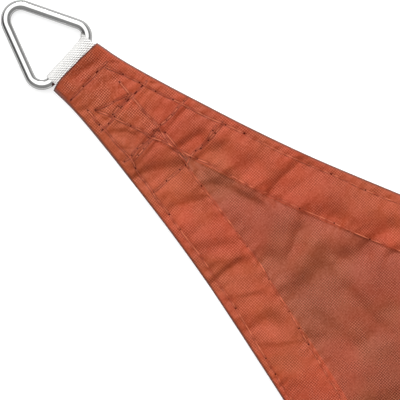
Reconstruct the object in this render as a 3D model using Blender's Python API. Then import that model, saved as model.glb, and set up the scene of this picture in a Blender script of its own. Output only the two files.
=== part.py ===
"""A triangular shade sail lying flat on the ground, with a wire ring at each corner.

Metres, +Z up, the ground at Z = 0. The origin is under the middle of the whole object's box.
The cloth is one solid: a woven sheet with a wide hem folded over onto its upper side along each
edge. Each corner takes the tail of a webbing loop between its layers, and the loop holds a
triangular wire ring by its base wire.

Each corner has its own coordinates: "along" runs from the middle of the ring's base wire towards
the middle of the sail, and "side" runs across it, to the right when looking at the corner from
the middle of the sail. Corner 0 points to +Y, and the others follow clockwise.
"""

import math

import bmesh
import bpy
from mathutils import Matrix, Vector
from mathutils.geometry import delaunay_2d_cdt

MM = 0.001

# The sail
SIDE = 2.000                        # between the middles of two base wires
CORNER_TO_MIDDLE = SIDE / math.sqrt(3)
CORNERS = 3
SHEET = 1.2 * MM                    # one layer of cloth
HEM_LAYER = 0.8 * MM                # what a folded hem adds
HEM_WIDTH = 31.5 * MM
HEM_STEP = 1.2 * MM                 # the hem's inner edge falls over this width

# The cloth's outline at a corner: its half width at each place along the corner
OUTLINE = (
    # along, half width (mm)
    (4, 19.4),
    (20, 20.7),
    (40, 24.05),
    (70, 30.25),
    (110, 39.15),
    (150, 49.55),
    (200, 64.75),
)
MOUTH = OUTLINE[0][0] * MM          # where the cloth ends and the webbing shows
ARC_START = OUTLINE[-1][0] * MM     # from here to mid edge the outline is an arc
ARC_HALF_WIDTH = OUTLINE[-1][1] * MM
ARC_ANGLE = math.radians(17.2)      # the edge's slope to the corner's axis there
MID_ANGLE = math.radians(30.0)      # and at mid edge

# The wire ring: a triangle with round corners, held by its base wire
WIRE = 6.0 * MM
WIRE_SIDES = 12
RING_HEIGHT = 61.2 * MM             # of the sharp triangle that its centre line follows
RING_BASE = 52.5 * MM
APEX_RADIUS = 9.0 * MM
BASE_RADIUS = 8.0 * MM
RING_SHIFT = -0.7 * MM              # the ring sits a little to one side of the corner's axis
RING_TURNS = (2.7, -1.6, 0.8)       # degrees, each ring as it happens to lie
RING_REACH = 50.4 * MM              # how far it stands out from the middle of its base wire
RING_BELOW = 31.2 * MM              # and how far the two at -Y reach further that way

# The webbing loop
WEBBING_HALF = 17.2 * MM            # half its width
PLY = 1.4 * MM
EYE = 3.4 * MM                      # the eye's radius around the wire
EYE_HEIGHT = EYE + PLY              # the loop's outer side touches the ground
TAIL_BOTTOM = 1.3 * MM
TAIL_TOP = 4.1 * MM
TAIL_END = 62.0 * MM
TAIL_KNEE = 14.0 * MM               # the upper ply comes down onto the tail here
LOWER_KNEE = 4.2 * MM
EYE_TAIL = (12.5 * MM, 2.9 * MM)    # the plies meet here: along, height
GAP = 0.3 * MM                      # between the webbing and the cloth around it

# The cloth over the webbing: the top of the corner, at the mouth, on the tail and past its end
ROOF = (
    # along, height (mm)
    (4, 9.8),
    (14, 5.7),
    (17, 5.4),
    (64, 5.4),
    (74, 3.0),
    (80, 0.0),
)
# and the height of the corner's two side edges there
ROOF_SIDES = (
    # along, height (mm)
    (4, 8.9),
    (12, 5.0),
    (24, 3.9),
    (64, 3.0),
    (80, 0.0),
)

# Puckers and creases in millimetres, as straight strokes with soft sides. A trough has a
# negative height. The cloth between them stands PUFF above the ground.
PUFF = 2.3 * MM
PUFF_ALONG = (63 * MM, 78 * MM, 260 * MM, 420 * MM)     # it rises, holds and fades over these
FOLDS = (
    # corner 0: from along, side, to along, side, half width, height
    (
        (72, -23, 87, -3, 5.0, -2.2),
        (102, -27, 111, -8, 4.5, -1.5),
        (128, -36, 136, -27, 6.0, -1.3),
        (148, -46, 157, -19, 3.8, -2.2),
        (166, -46, 176, -33, 5.0, -1.3),
        (190, -60, 213, -38, 4.0, -2.0),
        (83, 6, 87, 21, 4.5, -1.4),
        (97, 9, 103, 29, 4.5, -1.4),
        (113, 11, 123, 24, 6.0, -1.2),
        (141, 20, 145, 46, 4.2, -2.2),
        (168, 25, 179, 40, 8.0, -1.4),
        (106, -1, 142, 9, 4.5, -1.8),
        (122, -4, 157, -6, 7.0, 1.4),
        (160, -17, 167, -11, 5.0, -1.3),
        (175, -8, 169, 12, 4.0, -1.2),
        (180, 2, 178, 15, 8.0, 1.2),
        (190, -22, 196, 26, 9.0, -1.6),
    ),
    # corner 1
    (
        (74, 22, 92, 4, 6.0, -1.5),
        (80, -8, 90, -22, 6.0, -1.2),
        (118, -36, 112, -12, 6.0, -1.4),
        (128, 12, 121, 38, 6.5, -1.5),
        (150, -12, 178, -2, 8.0, 1.4),
        (165, 26, 182, 50, 8.0, -1.2),
        (172, -52, 186, -24, 8.0, -1.3),
    ),
    # corner 2
    (
        (76, -22, 84, 2, 6.0, -1.4),
        (96, 10, 104, 32, 6.0, -1.3),
        (112, -34, 126, -12, 6.5, -1.5),
        (138, 4, 166, 14, 8.0, 1.4),
        (146, 46, 140, 18, 6.5, -1.3),
        (170, -50, 160, -24, 7.0, -1.4),
        (192, 58, 204, 28, 8.0, -1.2),
    ),
)
SETTLE = 0.4 * MM                   # what would stand less than this lies on the ground
# The sail's wide, low waves, in metres from its middle
WAVES = (
    # from x, y, to x, y, half width, height
    (-0.030, 0.780, 0.060, 0.360, 0.050, 0.0050),
    (0.055, 0.560, 0.200, 0.120, 0.060, 0.0040),
    (-0.110, 0.420, -0.260, 0.020, 0.055, 0.0055),
    (0.620, -0.330, 0.220, -0.190, 0.055, 0.0055),
    (-0.640, -0.360, -0.260, -0.150, 0.060, 0.0045),
    (-0.280, -0.330, 0.170, -0.290, 0.060, 0.0050),
    (-0.080, 0.080, 0.110, -0.110, 0.080, 0.0035),
)

# How finely the cloth's mesh is divided: at a corner, and growing from "fine until" on
MESH = (
    # step (mm), fine until (mm)
    (4.3, 214),
    (7.5, 130),
    (7.5, 130),
)
STEP_GROWTH = 0.16
LONGEST_STEP = 0.050

# Colours, linear
TERRACOTTA = (0.42, 0.095, 0.050, 1)
WHITE = (0.78, 0.78, 0.77, 1)
STEEL = (0.62, 0.62, 0.63, 1)


def smooth(value, low, high):
    """0 at low, 1 at high, with soft ends."""
    part = min(1.0, max(0.0, (value - low) / (high - low)))
    return part * part * (3 - 2 * part)


def in_rows(rows, place):
    """The value at a place of a table of (place, value) rows in mm, joined by straight lines."""
    place /= MM
    if place <= rows[0][0]:
        return rows[0][1] * MM
    for (start, low), (end, high) in zip(rows, rows[1:]):
        if place <= end:
            return (low + (high - low) * (place - start) / (end - start)) * MM
    return rows[-1][1] * MM


def half_width(along):
    """The outline's half width at a corner, as a smooth curve through OUTLINE's rows."""
    place = along / MM
    slopes = [(after[1] - before[1]) / (after[0] - before[0])
              for before, after in zip((OUTLINE[0],) + OUTLINE[:-1], OUTLINE[1:] + (OUTLINE[-1],))]
    slopes[-1] = math.tan(ARC_ANGLE)
    for index, ((start, low), (end, high)) in enumerate(zip(OUTLINE, OUTLINE[1:])):
        if place <= end:
            span = end - start
            part = (place - start) / span
            return MM * ((1 + 2 * part) * (1 - part) ** 2 * low + part ** 2 * (3 - 2 * part) * high
                         + span * part * (1 - part) * ((1 - part) * slopes[index]
                                                       - part * slopes[index + 1]))
    return ARC_HALF_WIDTH


def arc_radius():
    """The long arc's radius, so that two corners' arcs meet at mid edge."""
    reach = CORNER_TO_MIDDLE - ARC_START - ARC_HALF_WIDTH * math.tan(MID_ANGLE)
    rise = math.sin(MID_ANGLE) - math.sin(ARC_ANGLE)
    spread = math.cos(ARC_ANGLE) - math.cos(MID_ANGLE)
    return reach / (rise + spread * math.tan(MID_ANGLE))


def step_at(corner, along):
    """The mesh's step at a place along a corner."""
    fine, until = MESH[corner]
    return min(LONGEST_STEP, fine * MM + STEP_GROWTH * max(0.0, along - until * MM))


def arc_point(angle):
    """(along, half width) where the long arc has this slope to the corner's axis."""
    radius = arc_radius()
    return (ARC_START + radius * (math.sin(angle) - math.sin(ARC_ANGLE)),
            ARC_HALF_WIDTH + radius * (math.cos(ARC_ANGLE) - math.cos(angle)))


def half_edge(corner):
    """(along, half width) points of one side of a corner, from the mouth almost to mid edge."""
    points = []
    along = MOUTH
    while along < ARC_START - 0.5 * step_at(corner, along):
        points.append((along, half_width(along)))
        along += step_at(corner, along)
    angle = ARC_ANGLE
    while angle < MID_ANGLE - 0.5 * LONGEST_STEP / arc_radius():
        points.append(arc_point(angle))
        angle += step_at(corner, points[-1][0]) / arc_radius()
    return points


def turned(point, corner):
    """A point beside the +Y corner's axis, turned clockwise to its own corner."""
    return Matrix.Rotation(-corner * 2 * math.pi / CORNERS, 2) @ Vector(point)


def at_corner(corner, along, side):
    """A place in a corner's own coordinates, measured from the sail's middle."""
    return turned((side, CORNER_TO_MIDDLE - along), corner)


def own_corner(point):
    """The corner a point is nearest to, and the point's along and side there."""
    corner = max(range(CORNERS), key=lambda c: turned((0, 1), c).dot(point))
    local = turned(point, -corner)
    return corner, CORNER_TO_MIDDLE - local.y, local.x


def segment_distance(point, start, end):
    """How far a point lies from a straight stroke."""
    run = end - start
    part = max(0.0, min(1.0, (point - start).dot(run) / run.length_squared))
    return (point - start - part * run).length


def sail_edges():
    """The three long edges as point lists, clockwise, each from one corner to the next."""
    edges = []
    for corner in range(CORNERS):
        after = (corner + 1) % CORNERS
        first = [at_corner(corner, along, half) for along, half in half_edge(corner)]
        last = [at_corner(after, along, -half) for along, half in half_edge(after)]
        middle = at_corner(corner, *arc_point(MID_ANGLE))
        edges.append(first + [middle] + last[::-1])
    return edges


def edge_distance(point, edge):
    """How far a point lies from a long edge."""
    return min(segment_distance(point, start, end) for start, end in zip(edge, edge[1:]))


def fold_height(point):
    """The puckers, creases and waves at a point, as a height over the puffed cloth."""
    corner, along, side = own_corner(point)
    place = Vector((along, side)) / MM
    height = 0.0
    if along < PUFF_ALONG[3]:
        for from_along, from_side, to_along, to_side, half, rise in FOLDS[corner]:
            away = segment_distance(place, Vector((from_along, from_side)),
                                    Vector((to_along, to_side)))
            height += rise * MM * math.exp(-(away / half) ** 2)
    for from_x, from_y, to_x, to_y, half, rise in WAVES:
        away = segment_distance(point, Vector((from_x, from_y)), Vector((to_x, to_y)))
        height += rise * math.exp(-(away / half) ** 2)
    return height


def cloth_heights(point, edges):
    """The underside's and the upper side's height at a point."""
    corner, along, side = own_corner(point)
    distances = [edge_distance(point, edge) for edge in edges]
    rise, hold, fade, end = PUFF_ALONG
    puff = PUFF * smooth(along, rise, hold) * (1 - smooth(along, fade, end))
    freedom = smooth(along, rise, hold) * smooth(min(distances), 0.0, 6 * MM)
    lift = max(0.0, puff + fold_height(point) - SETTLE) * freedom
    layers = SHEET + sum(HEM_LAYER * (1 - smooth(away, HEM_WIDTH - HEM_STEP / 2,
                                                 HEM_WIDTH + HEM_STEP / 2))
                         for away in distances)
    if along > ARC_START:
        return lift, lift + layers
    shoulder = smooth(abs(side), WEBBING_HALF + GAP, half_width(along))
    roof = in_rows(ROOF, along)
    roof += (in_rows(ROOF_SIDES, along) - roof) * shoulder
    return lift, max(lift + layers, roof)


def hem_lines(edges):
    """The two lines along each hem's inner edge, as far as the tails in the corners."""
    lines = []
    for edge in edges:
        for offset in (HEM_WIDTH - HEM_STEP / 2, HEM_WIDTH + HEM_STEP / 2):
            line = []
            for before, here, after in zip(edge, edge[1:], edge[2:]):
                run = (after - before).normalized()
                place = here + Vector((run.y, -run.x)) * offset
                _, along, side = own_corner(place)
                if along > TAIL_END and abs(side) < half_width(along) - HEM_STEP:
                    line.append(place)
                elif along > ARC_START:
                    line.append(place)
            lines.append(line)
    return lines


def inner_points(edges, lines):
    """Points inside the outline, in staggered rows that grow coarser towards the middle."""
    points = []
    for corner in range(CORNERS):
        along = MOUTH
        row = 0
        while along < CORNER_TO_MIDDLE:
            step = step_at(corner, along)
            columns = int(CORNER_TO_MIDDLE / step)
            for column in range(-columns, columns + 1):
                side = (column + 0.5 * (row % 2)) * step
                border = (CORNER_TO_MIDDLE - along) * math.tan(2 * MID_ANGLE)
                if abs(side) > border - 0.3 * step:
                    continue
                if along < ARC_START and abs(side) > half_width(along) - 0.5 * step:
                    continue
                point = at_corner(corner, along + 0.5 * step, side)
                clear = 0.55 * step
                if all(edge_distance(point, line) > clear for line in edges + lines):
                    if inside(point, edges):
                        points.append(point)
            along += 0.87 * step
            row += 1
    return points


def inside(point, edges):
    """Whether a point is inside the outline."""
    loop = [place for edge in edges for place in edge]
    crossings = 0
    for start, end in zip(loop, loop[1:] + loop[:1]):
        if (start.y > point.y) != (end.y > point.y):
            reach = start.x + (point.y - start.y) * (end.x - start.x) / (end.y - start.y)
            crossings += reach > point.x
    return crossings % 2 == 1


def mouth_points(corner):
    """The points across a corner's mouth, between its two sides."""
    step = step_at(corner, MOUTH)
    half = half_width(MOUTH)
    count = round(2 * half / step)
    return [at_corner(corner, MOUTH, -half + 2 * half * index / count)
            for index in range(1, count)]


def cloth_plan(edges):
    """The cloth seen from above: points and triangles."""
    outline = []
    for corner, edge in enumerate(edges):
        outline += mouth_points(corner) + edge
    outline.reverse()
    lines = hem_lines(edges)
    points = list(outline)
    bonds = [(index, (index + 1) % len(outline)) for index in range(len(outline))]
    for line in lines:
        bonds += [(len(points) + index, len(points) + index + 1) for index in range(len(line) - 1)]
        points += line
    points += inner_points(edges, lines)
    found = delaunay_2d_cdt(points, bonds, [], 1, 1e-6)
    return found[0], found[2]


def solid(name, points, faces, colour, roughness, metallic=0.0):
    """An object from points and faces, with its material."""
    mesh = bpy.data.meshes.new(name)
    mesh.from_pydata(points, [], faces)
    body = bmesh.new()
    body.from_mesh(mesh)
    bmesh.ops.recalc_face_normals(body, faces=body.faces)
    body.to_mesh(mesh)
    body.free()
    mesh.shade_smooth()
    mesh.set_sharp_from_angle(angle=math.radians(35))
    piece = bpy.data.objects.new(name, mesh)
    bpy.context.scene.collection.objects.link(piece)
    surface = bpy.data.materials.new(name)
    surface.use_nodes = True
    shader = surface.node_tree.nodes["Principled BSDF"]
    shader.inputs["Base Color"].default_value = colour
    shader.inputs["Roughness"].default_value = roughness
    shader.inputs["Metallic"].default_value = metallic
    mesh.materials.append(surface)
    return piece


def make_sail():
    """The cloth: an upper and an under side over one plan, joined by a wall."""
    edges = sail_edges()
    plan, triangles = cloth_plan(edges)
    heights = [cloth_heights(point, edges) for point in plan]
    count = len(plan)
    points = [(p.x, p.y, low) for p, (low, _) in zip(plan, heights)]
    points += [(p.x, p.y, high) for p, (_, high) in zip(plan, heights)]
    faces = [tuple(corner + count for corner in face) for face in triangles]
    faces += [tuple(reversed(face)) for face in triangles]
    borders = {}
    for face in triangles:
        for start, end in zip(face, face[1:] + face[:1]):
            borders[start, end] = (end, start) not in borders
            if (end, start) in borders:
                borders[end, start] = False
    for (start, end), single in borders.items():
        if single:
            faces += [(start, end, end + count), (start, end + count, start + count)]
    return solid("sail", points, faces, TERRACOTTA, 0.9)


def ring_corners():
    """The ring's arcs in its own plane, as (centre, radius, first angle, last angle)."""
    lean = math.atan2(RING_BASE / 2, RING_HEIGHT)       # half the apex's angle
    foot = math.pi / 2 - lean                           # the angle at each end of the base
    apex_centre = Vector((0, RING_HEIGHT - APEX_RADIUS / math.sin(lean)))
    foot_centre = Vector((RING_BASE / 2 - BASE_RADIUS / math.tan(foot / 2), BASE_RADIUS))
    right = (foot_centre, BASE_RADIUS, -math.pi / 2, lean)
    apex = (apex_centre, APEX_RADIUS, lean, math.pi - lean)
    left_centre = Vector((-foot_centre.x, foot_centre.y))
    left = (left_centre, BASE_RADIUS, math.pi - lean, 1.5 * math.pi)
    return right, apex, left


def make_ring(corner, place):
    """A wire ring: its round section swept along three arcs and the straights between them."""
    steps = 9
    turns = []
    for centre, radius, first, last in ring_corners():
        for index in range(steps + 1):
            angle = first + (last - first) * index / steps
            out = Vector((math.cos(angle), math.sin(angle)))
            turns.append((centre + radius * out, out))
    points = []
    for centre, out in turns:
        for index in range(WIRE_SIDES):
            angle = 2 * math.pi * (index + 0.5) / WIRE_SIDES
            reach = WIRE / 2 * math.cos(angle)
            spot = centre + reach * out
            points.append((spot.x, spot.y, WIRE / 2 * math.sin(angle)))
    faces = []
    for turn in range(len(turns)):
        after = (turn + 1) % len(turns)
        for index in range(WIRE_SIDES):
            beside = (index + 1) % WIRE_SIDES
            faces.append((turn * WIRE_SIDES + index, after * WIRE_SIDES + index,
                          after * WIRE_SIDES + beside, turn * WIRE_SIDES + beside))
    ring = solid(f"ring_{corner + 1}", points, faces, STEEL, 0.15, 1.0)
    ring.matrix_world = place @ ring_lie(corner)
    return ring


def ring_lie(corner):
    """How a ring lies at its corner: shifted, turned, and leaning down until its apex rests."""
    reach = RING_HEIGHT - APEX_RADIUS / math.sin(math.atan2(RING_BASE / 2, RING_HEIGHT))
    drop = EYE_HEIGHT - WIRE / 2
    lean = -math.asin(drop / (reach + APEX_RADIUS))
    return (Matrix.Translation((RING_SHIFT, 0, EYE_HEIGHT))
            @ Matrix.Rotation(-math.radians(RING_TURNS[corner]), 4, "Z")
            @ Matrix.Rotation(lean, 4, "X"))


def wire_at(corner, side):
    """The base wire's place along the corner at a sideways place, and its slope there."""
    turn = math.radians(RING_TURNS[corner])
    centre = ring_corners()[0][0]
    across = side - RING_SHIFT
    past = max(0.0, abs(across) - centre.x)
    bend = math.asin(past / BASE_RADIUS)
    return across * math.tan(turn) - BASE_RADIUS * (1 - math.cos(bend)), bend


def tangent_angle(centre, across, radius, point, upper):
    """The angle on an ellipse where a straight line from a point touches it."""
    squeeze = radius / across
    run = (point[0] - centre[0]) * squeeze
    rise = point[1] - centre[1]
    spread = math.acos(radius / math.hypot(run, rise))
    return math.atan2(rise, run) + (spread if upper else -spread)


def loop_points(corner, side, grow, hole):
    """One section of the loop at a sideways place, as (along, height) points.

    The outer line, or the hole's, runs around the wire; straight lines lead on to the tail.
    """
    along, bend = wire_at(corner, side)
    centre = (along, EYE_HEIGHT)
    radius = EYE if hole else EYE_HEIGHT + grow
    across = radius + EYE * (1 / math.cos(bend) - 1)
    if hole:
        tail = [EYE_TAIL]
    else:
        tail = [(LOWER_KNEE, TAIL_BOTTOM - grow), (TAIL_END + grow, TAIL_BOTTOM - grow),
                (TAIL_END + grow, TAIL_TOP + grow), (TAIL_KNEE, TAIL_TOP + grow)]
    first = tangent_angle(centre, across, radius, tail[-1], True)
    last = 2 * math.pi + tangent_angle(centre, across, radius, tail[0], False)
    steps = 12
    points = []
    for index in range(steps + 1):
        angle = first + (last - first) * index / steps
        points.append((along + across * math.cos(angle), EYE_HEIGHT + radius * math.sin(angle)))
    return points + tail


def loop_sides(half):
    """The sideways places of the loop's sections."""
    steps = 8
    return [half * (2 * index / steps - 1) for index in range(steps + 1)]


def as_points(corner, sections):
    """The sections' points in the sail's frame, before the corner is placed."""
    return [(side, -along, height) for side, section in sections for along, height in section]


def make_webbing(corner, place):
    """The webbing: a loop around the base wire, and a tail of its two plies."""
    outer = [(side, loop_points(corner, side, 0.0, False)) for side in loop_sides(WEBBING_HALF)]
    inner = [(side, loop_points(corner, side, 0.0, True)) for side in loop_sides(WEBBING_HALF)]
    rim = len(outer[0][1])
    hole = len(inner[0][1])
    start = rim * len(outer)
    points = as_points(corner, outer) + as_points(corner, inner)
    faces = []
    for row in range(len(outer) - 1):
        faces += band(row * rim, rim)
        faces += band(start + row * hole, hole)
    for row in (0, len(outer) - 1):
        base, eye = row * rim, start + row * hole
        faces += [(base + index, base + index + 1, eye + index + 1, eye + index)
                  for index in range(hole - 2)]
        tail = eye + hole - 1
        faces.append((base + hole - 2, base + hole - 1, tail, tail - 1))
        faces += [(base + index, base + index + 1, tail) for index in range(hole - 1, rim - 1)]
        faces.append((base + rim - 1, base, eye, tail))
    webbing = solid(f"webbing_{corner + 1}", points, faces, WHITE, 0.8)
    webbing.matrix_world = place
    return webbing


def band(start, count):
    """Faces between one section's points and the next one's."""
    return [(start + index, start + (index + 1) % count,
             start + count + (index + 1) % count, start + count + index)
            for index in range(count)]


def cut_pocket(sail, corner, place):
    """The pocket between the cloth's layers that takes the webbing's tail, with a gap."""
    sides = loop_sides(WEBBING_HALF + GAP)
    sections = [(side, loop_points(corner, side, GAP, False)) for side in sides]
    rim = len(sections[0][1])
    faces = []
    for row in range(len(sections) - 1):
        faces += band(row * rim, rim)
    faces += [tuple(range(rim)), tuple(range(rim * (len(sections) - 1), rim * len(sections)))]
    cutter = solid(f"pocket_{corner + 1}", as_points(corner, sections), faces, TERRACOTTA, 0.9)
    cutter.matrix_world = place
    cutter.hide_render = True
    cutter.display_type = "WIRE"
    cut = sail.modifiers.new(f"pocket_{corner + 1}", "BOOLEAN")
    cut.operation = "DIFFERENCE"
    cut.solver = "EXACT"
    cut.object = cutter


def main():
    for old in list(bpy.data.objects):
        bpy.data.objects.remove(old)
    top = at_corner(0, 0, 0).y + RING_REACH
    bottom = at_corner(1, 0, 0).y - RING_BELOW
    sail_middle = Matrix.Translation((0, -(top + bottom) / 2, 0))
    sail = make_sail()
    sail.matrix_world = sail_middle
    for corner in range(CORNERS):
        around = Matrix.Rotation(-corner * 2 * math.pi / CORNERS, 4, "Z")
        place = sail_middle @ around @ Matrix.Translation((0, CORNER_TO_MIDDLE, 0))
        make_ring(corner, place)
        make_webbing(corner, place)
        cut_pocket(sail, corner, place)


main()
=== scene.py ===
"""The shade sail as it looks: woven cloth with sewn hems, white webbing loops and steel rings.

Metres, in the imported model's own frame. Corner coordinates are those of the model: "along" runs
from the middle of a ring's base wire towards the middle of the sail, and "side" runs across it,
to the right when looking at the corner from the middle of the sail. Corner 0 points to +Y and is
the one that the camera looks at. Tables are in millimetres.
"""

import math

import bpy
import numpy as np
from mathutils import Matrix, Vector
from mathutils.geometry import delaunay_2d_cdt

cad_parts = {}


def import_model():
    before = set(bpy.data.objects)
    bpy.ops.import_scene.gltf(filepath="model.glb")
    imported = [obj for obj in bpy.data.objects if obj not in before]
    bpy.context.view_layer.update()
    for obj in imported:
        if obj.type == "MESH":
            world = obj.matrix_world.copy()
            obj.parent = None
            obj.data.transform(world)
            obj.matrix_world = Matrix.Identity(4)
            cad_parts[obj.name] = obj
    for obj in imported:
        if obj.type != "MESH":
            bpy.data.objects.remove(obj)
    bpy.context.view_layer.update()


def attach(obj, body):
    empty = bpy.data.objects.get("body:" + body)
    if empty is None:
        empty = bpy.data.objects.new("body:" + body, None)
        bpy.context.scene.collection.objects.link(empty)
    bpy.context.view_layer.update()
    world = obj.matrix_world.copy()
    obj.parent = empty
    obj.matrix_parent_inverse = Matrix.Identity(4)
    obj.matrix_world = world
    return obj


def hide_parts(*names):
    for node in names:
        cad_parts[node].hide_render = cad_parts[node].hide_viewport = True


MM = 0.001

# ---- the model's driving sizes ----
SIDE = 2.000
CORNER_TO_MIDDLE = SIDE / math.sqrt(3)
CORNERS = 3
RING_REACH = 50.4 * MM
RING_BELOW = 31.2 * MM
SAIL_Y = -(CORNER_TO_MIDDLE + RING_REACH - CORNER_TO_MIDDLE / 2 - RING_BELOW) / 2
OUTLINE = (
    # along, half width
    (4, 19.4),
    (20, 20.7),
    (40, 24.05),
    (70, 30.25),
    (110, 39.15),
    (150, 49.55),
    (200, 64.75),
)
MOUTH = 4.0 * MM
ARC_START = OUTLINE[-1][0] * MM
ARC_HALF_WIDTH = OUTLINE[-1][1] * MM
ARC_ANGLE = math.radians(17.2)
MID_ANGLE = math.radians(30.0)

WIRE = 6.0 * MM
RING_HEIGHT = 61.2 * MM
RING_BASE = 52.5 * MM
APEX_RADIUS = 9.0 * MM
BASE_RADIUS = 8.0 * MM
RING_SHIFT = -1.2 * MM
RING_TURNS = (2.7, -1.6, 0.8)

WEBBING_HALF = 17.2 * MM
PLY = 1.4 * MM
EYE = 3.4 * MM
EYE_HEIGHT = EYE + PLY
TAIL_BOTTOM = 1.3 * MM
TAIL_TOP = 4.1 * MM
TAIL_END = 62.0 * MM
TAIL_KNEE = 14.0 * MM
LOWER_KNEE = 4.2 * MM
EYE_TAIL = (12.5 * MM, 2.9 * MM)
GAP = 0.3 * MM

ROOF = ((4, 9.5), (10, 8), (16, 6.9), (26, 6.2), (40, 5.9), (64, 5.7), (69, 5.2), (73, 3.6),
        (78, 0))
ROOF_SIDES = (
    # its height at the edges, left and right
    ((4, 4), (8, 4.2), (12, 5.4), (17, 6.3), (26, 5.7), (64, 5), (69, 4.6), (73, 3.2),
     (78, 0)),
    ((4, 8.3), (10, 7), (16, 6.1), (26, 5.5), (64, 5), (69, 4.6), (73, 3.2), (78, 0)),
)
SHOULDERS = (17.0 * MM, 18.4 * MM)  # where the roof starts to fall, left and right
ROOF_FLOOR = 4.3 * MM  # the least height over the webbing's tail
PUFF = 4.2 * MM  # how far the cloth stands up past the webbing's end
PUFF_ALONG = (63 * MM, 75 * MM, 260 * MM, 420 * MM)  # where it starts, holds, fades, ends
SETTLE = 0.4 * MM  # the lift that it takes to leave the ground
SOFTNESS = 0.25 * MM  # how softly it leaves the ground
LIT_SIDE = (-0.68, 0.73)  # along and side of the direction to the light
STEEPEST = 0.71  # where a fold's wall is steepest, in half widths
FOLD_REACH = 3  # how far off its path a fold is followed, in half widths
FOLD_TURN = 0.6  # the cosine from which a side counts as lit or far
FOLD_FADE = 0.25  # the share of a fold's path that fades at each end
FOLD_END = 0.05  # the share of its height that is left at its very ends
FOLDS = (
    # corner 0: half width on the lit side, on the far side, height, then along and side of
    # each point where it is darkest
    (
        (5.5, 11, -3.7, (66, -31), (70, -26.5), (76, -19.5), (81, -13), (85.5, -8), (90, -3),
         (94, 1)),
        (4.4, 11, -2.7, (97, -33), (101, -28), (105, -22), (108.5, -16), (112, -11), (117, -5)),
        (3, 10, -3.3, (149, -54), (149.8, -47), (151, -38), (153.5, -28), (157.5, -18)),
        (3.5, 6, -1.2, (126, -41), (132, -34), (138, -27), (145, -18)),
        (4, 7, -1.3, (136, -45), (142, -40), (146, -34), (149, -28)),
        (2, 6, -1, (161, -52), (167, -44.5), (174, -36), (181, -28)),
        (5.5, 9, -2.6, (178, -65), (181, -57), (184.5, -49), (188, -40), (191, -31)),
        (6.5, 1.8, 0.8, (187, -62), (196, -56), (204, -49), (210, -42), (216, -34)),
        (4.5, 5.5, -1.2, (117, -42), (120, -30), (123, -20), (124, -8)),
        (3, 5, -0.9, (90, -33), (95, -26), (99, -20), (102, -14)),
        (6, 4, 0.8, (216, -66), (224, -60), (232, -54)),
        (3.8, 11, -2.9, (82.6, 2), (83.4, 6), (84.4, 11), (86, 16), (89, 25)),
        (4.2, 9, -2.8, (93, 0), (95.5, 6), (98, 13), (101, 20), (105, 31)),
        (6, 6, -2.5, (114, 2), (117, 10), (119, 19), (121, 27), (124, 37)),
        (6, 11, -5.5, (141.5, 12), (142, 18), (142.7, 25), (143.3, 32), (145, 40), (147, 50),
         (150, 64)),
        (6.5, 9, -3.3, (160, 18), (166, 24), (173, 29), (181, 33), (188, 36)),
        (6.5, 6, -3, (204, 22), (205, 31), (207, 40), (210, 50), (213, 60)),
        (6, 6, 1.2, (190, 33), (194, 43), (199, 56)),
        (5, 5, -2.2, (216, 32), (221, 38), (226, 44), (231, 52)),
        (3.6, 9, -2.5, (105, -9), (109, -3), (113, 0.5), (118, 2.5), (124, 4), (131, 5.8),
         (138, 7.6), (144, 9), (149, 10)),
        (7, 7, 0.6, (122, -8), (135, -7), (150, -6)),
        (6.5, 8, -2.3, (157, -16), (162, -11), (168, -9.5), (175, -12), (182, -17)),
        (3.8, 7, -3.3, (179, -13), (176, -6), (173.5, 1), (171.5, 7), (169, 12.5), (165, 19)),
        (4.5, 6, 1.2, (178, -14), (180, -6), (182, 4), (184, 14), (186, 24)),
        (9, 12, -2.9, (186, -30), (188, -20), (190.5, -10), (193, 0), (192, 10),
         (189.5, 19), (188, 30)),
        (8, 10, -1.7, (187, -20), (191, -10), (193.5, 1), (193, 14)),
        (24, 24, 1.6, (165, -4), (200, -4), (240, -4)),
        (6, 7, -2.6, (195, 12), (199, 17), (203, 21.5), (207.5, 26), (213, 33)),
        (5, 15, -2, (203, 5), (213, 3), (226, 1), (240, -1), (254, -3)),
        (4, 6, -1.1, (206, -40), (214, -35), (220, -30), (226, -24)),
        (5, 6, -1, (199, -21), (213, -20), (228, -20), (246, -19)),
        (5, 7, -1.8, (236, -28), (242, -16), (244, -5), (241, 8), (235, 20)),
        (7, 9, -3.3, (263, -47), (271, -39), (278, -30), (286, -19), (294, -8)),
    ),
    # corner 1
    (
        (4, 6, -1.5, (74, 22), (92, 4)),
        (4, 6, -1.2, (80, -8), (90, -22)),
        (4, 6, -1.4, (118, -36), (112, -12)),
        (5, 6.5, -1.5, (128, 12), (121, 38)),
        (8, 8, 1.4, (150, -12), (178, -2)),
        (6, 8, -1.2, (165, 26), (182, 50)),
        (6, 8, -1.3, (172, -52), (186, -24)),
    ),
    # corner 2
    (
        (4, 6, -1.4, (76, -22), (84, 2)),
        (4, 6, -1.3, (96, 10), (104, 32)),
        (5, 6.5, -1.5, (112, -34), (126, -12)),
        (8, 8, 1.4, (138, 4), (166, 14)),
        (4, 6.5, -1.3, (146, 46), (140, 18)),
        (5, 7, -1.4, (170, -50), (160, -24)),
        (6, 8, -1.2, (192, 58), (204, 28)),
    ),
)
WAVES = (
    # from x, y, to x, y, half width, height, in metres from the sail's middle
    (-0.030, 0.780, 0.060, 0.360, 0.050, 0.0050),
    (0.055, 0.560, 0.200, 0.120, 0.060, 0.0040),
    (-0.110, 0.420, -0.260, 0.020, 0.055, 0.0055),
    (0.620, -0.330, 0.220, -0.190, 0.055, 0.0055),
    (-0.640, -0.360, -0.260, -0.150, 0.060, 0.0045),
    (-0.280, -0.330, 0.170, -0.290, 0.060, 0.0050),
    (-0.080, 0.080, 0.110, -0.110, 0.080, 0.0035),
)

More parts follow.
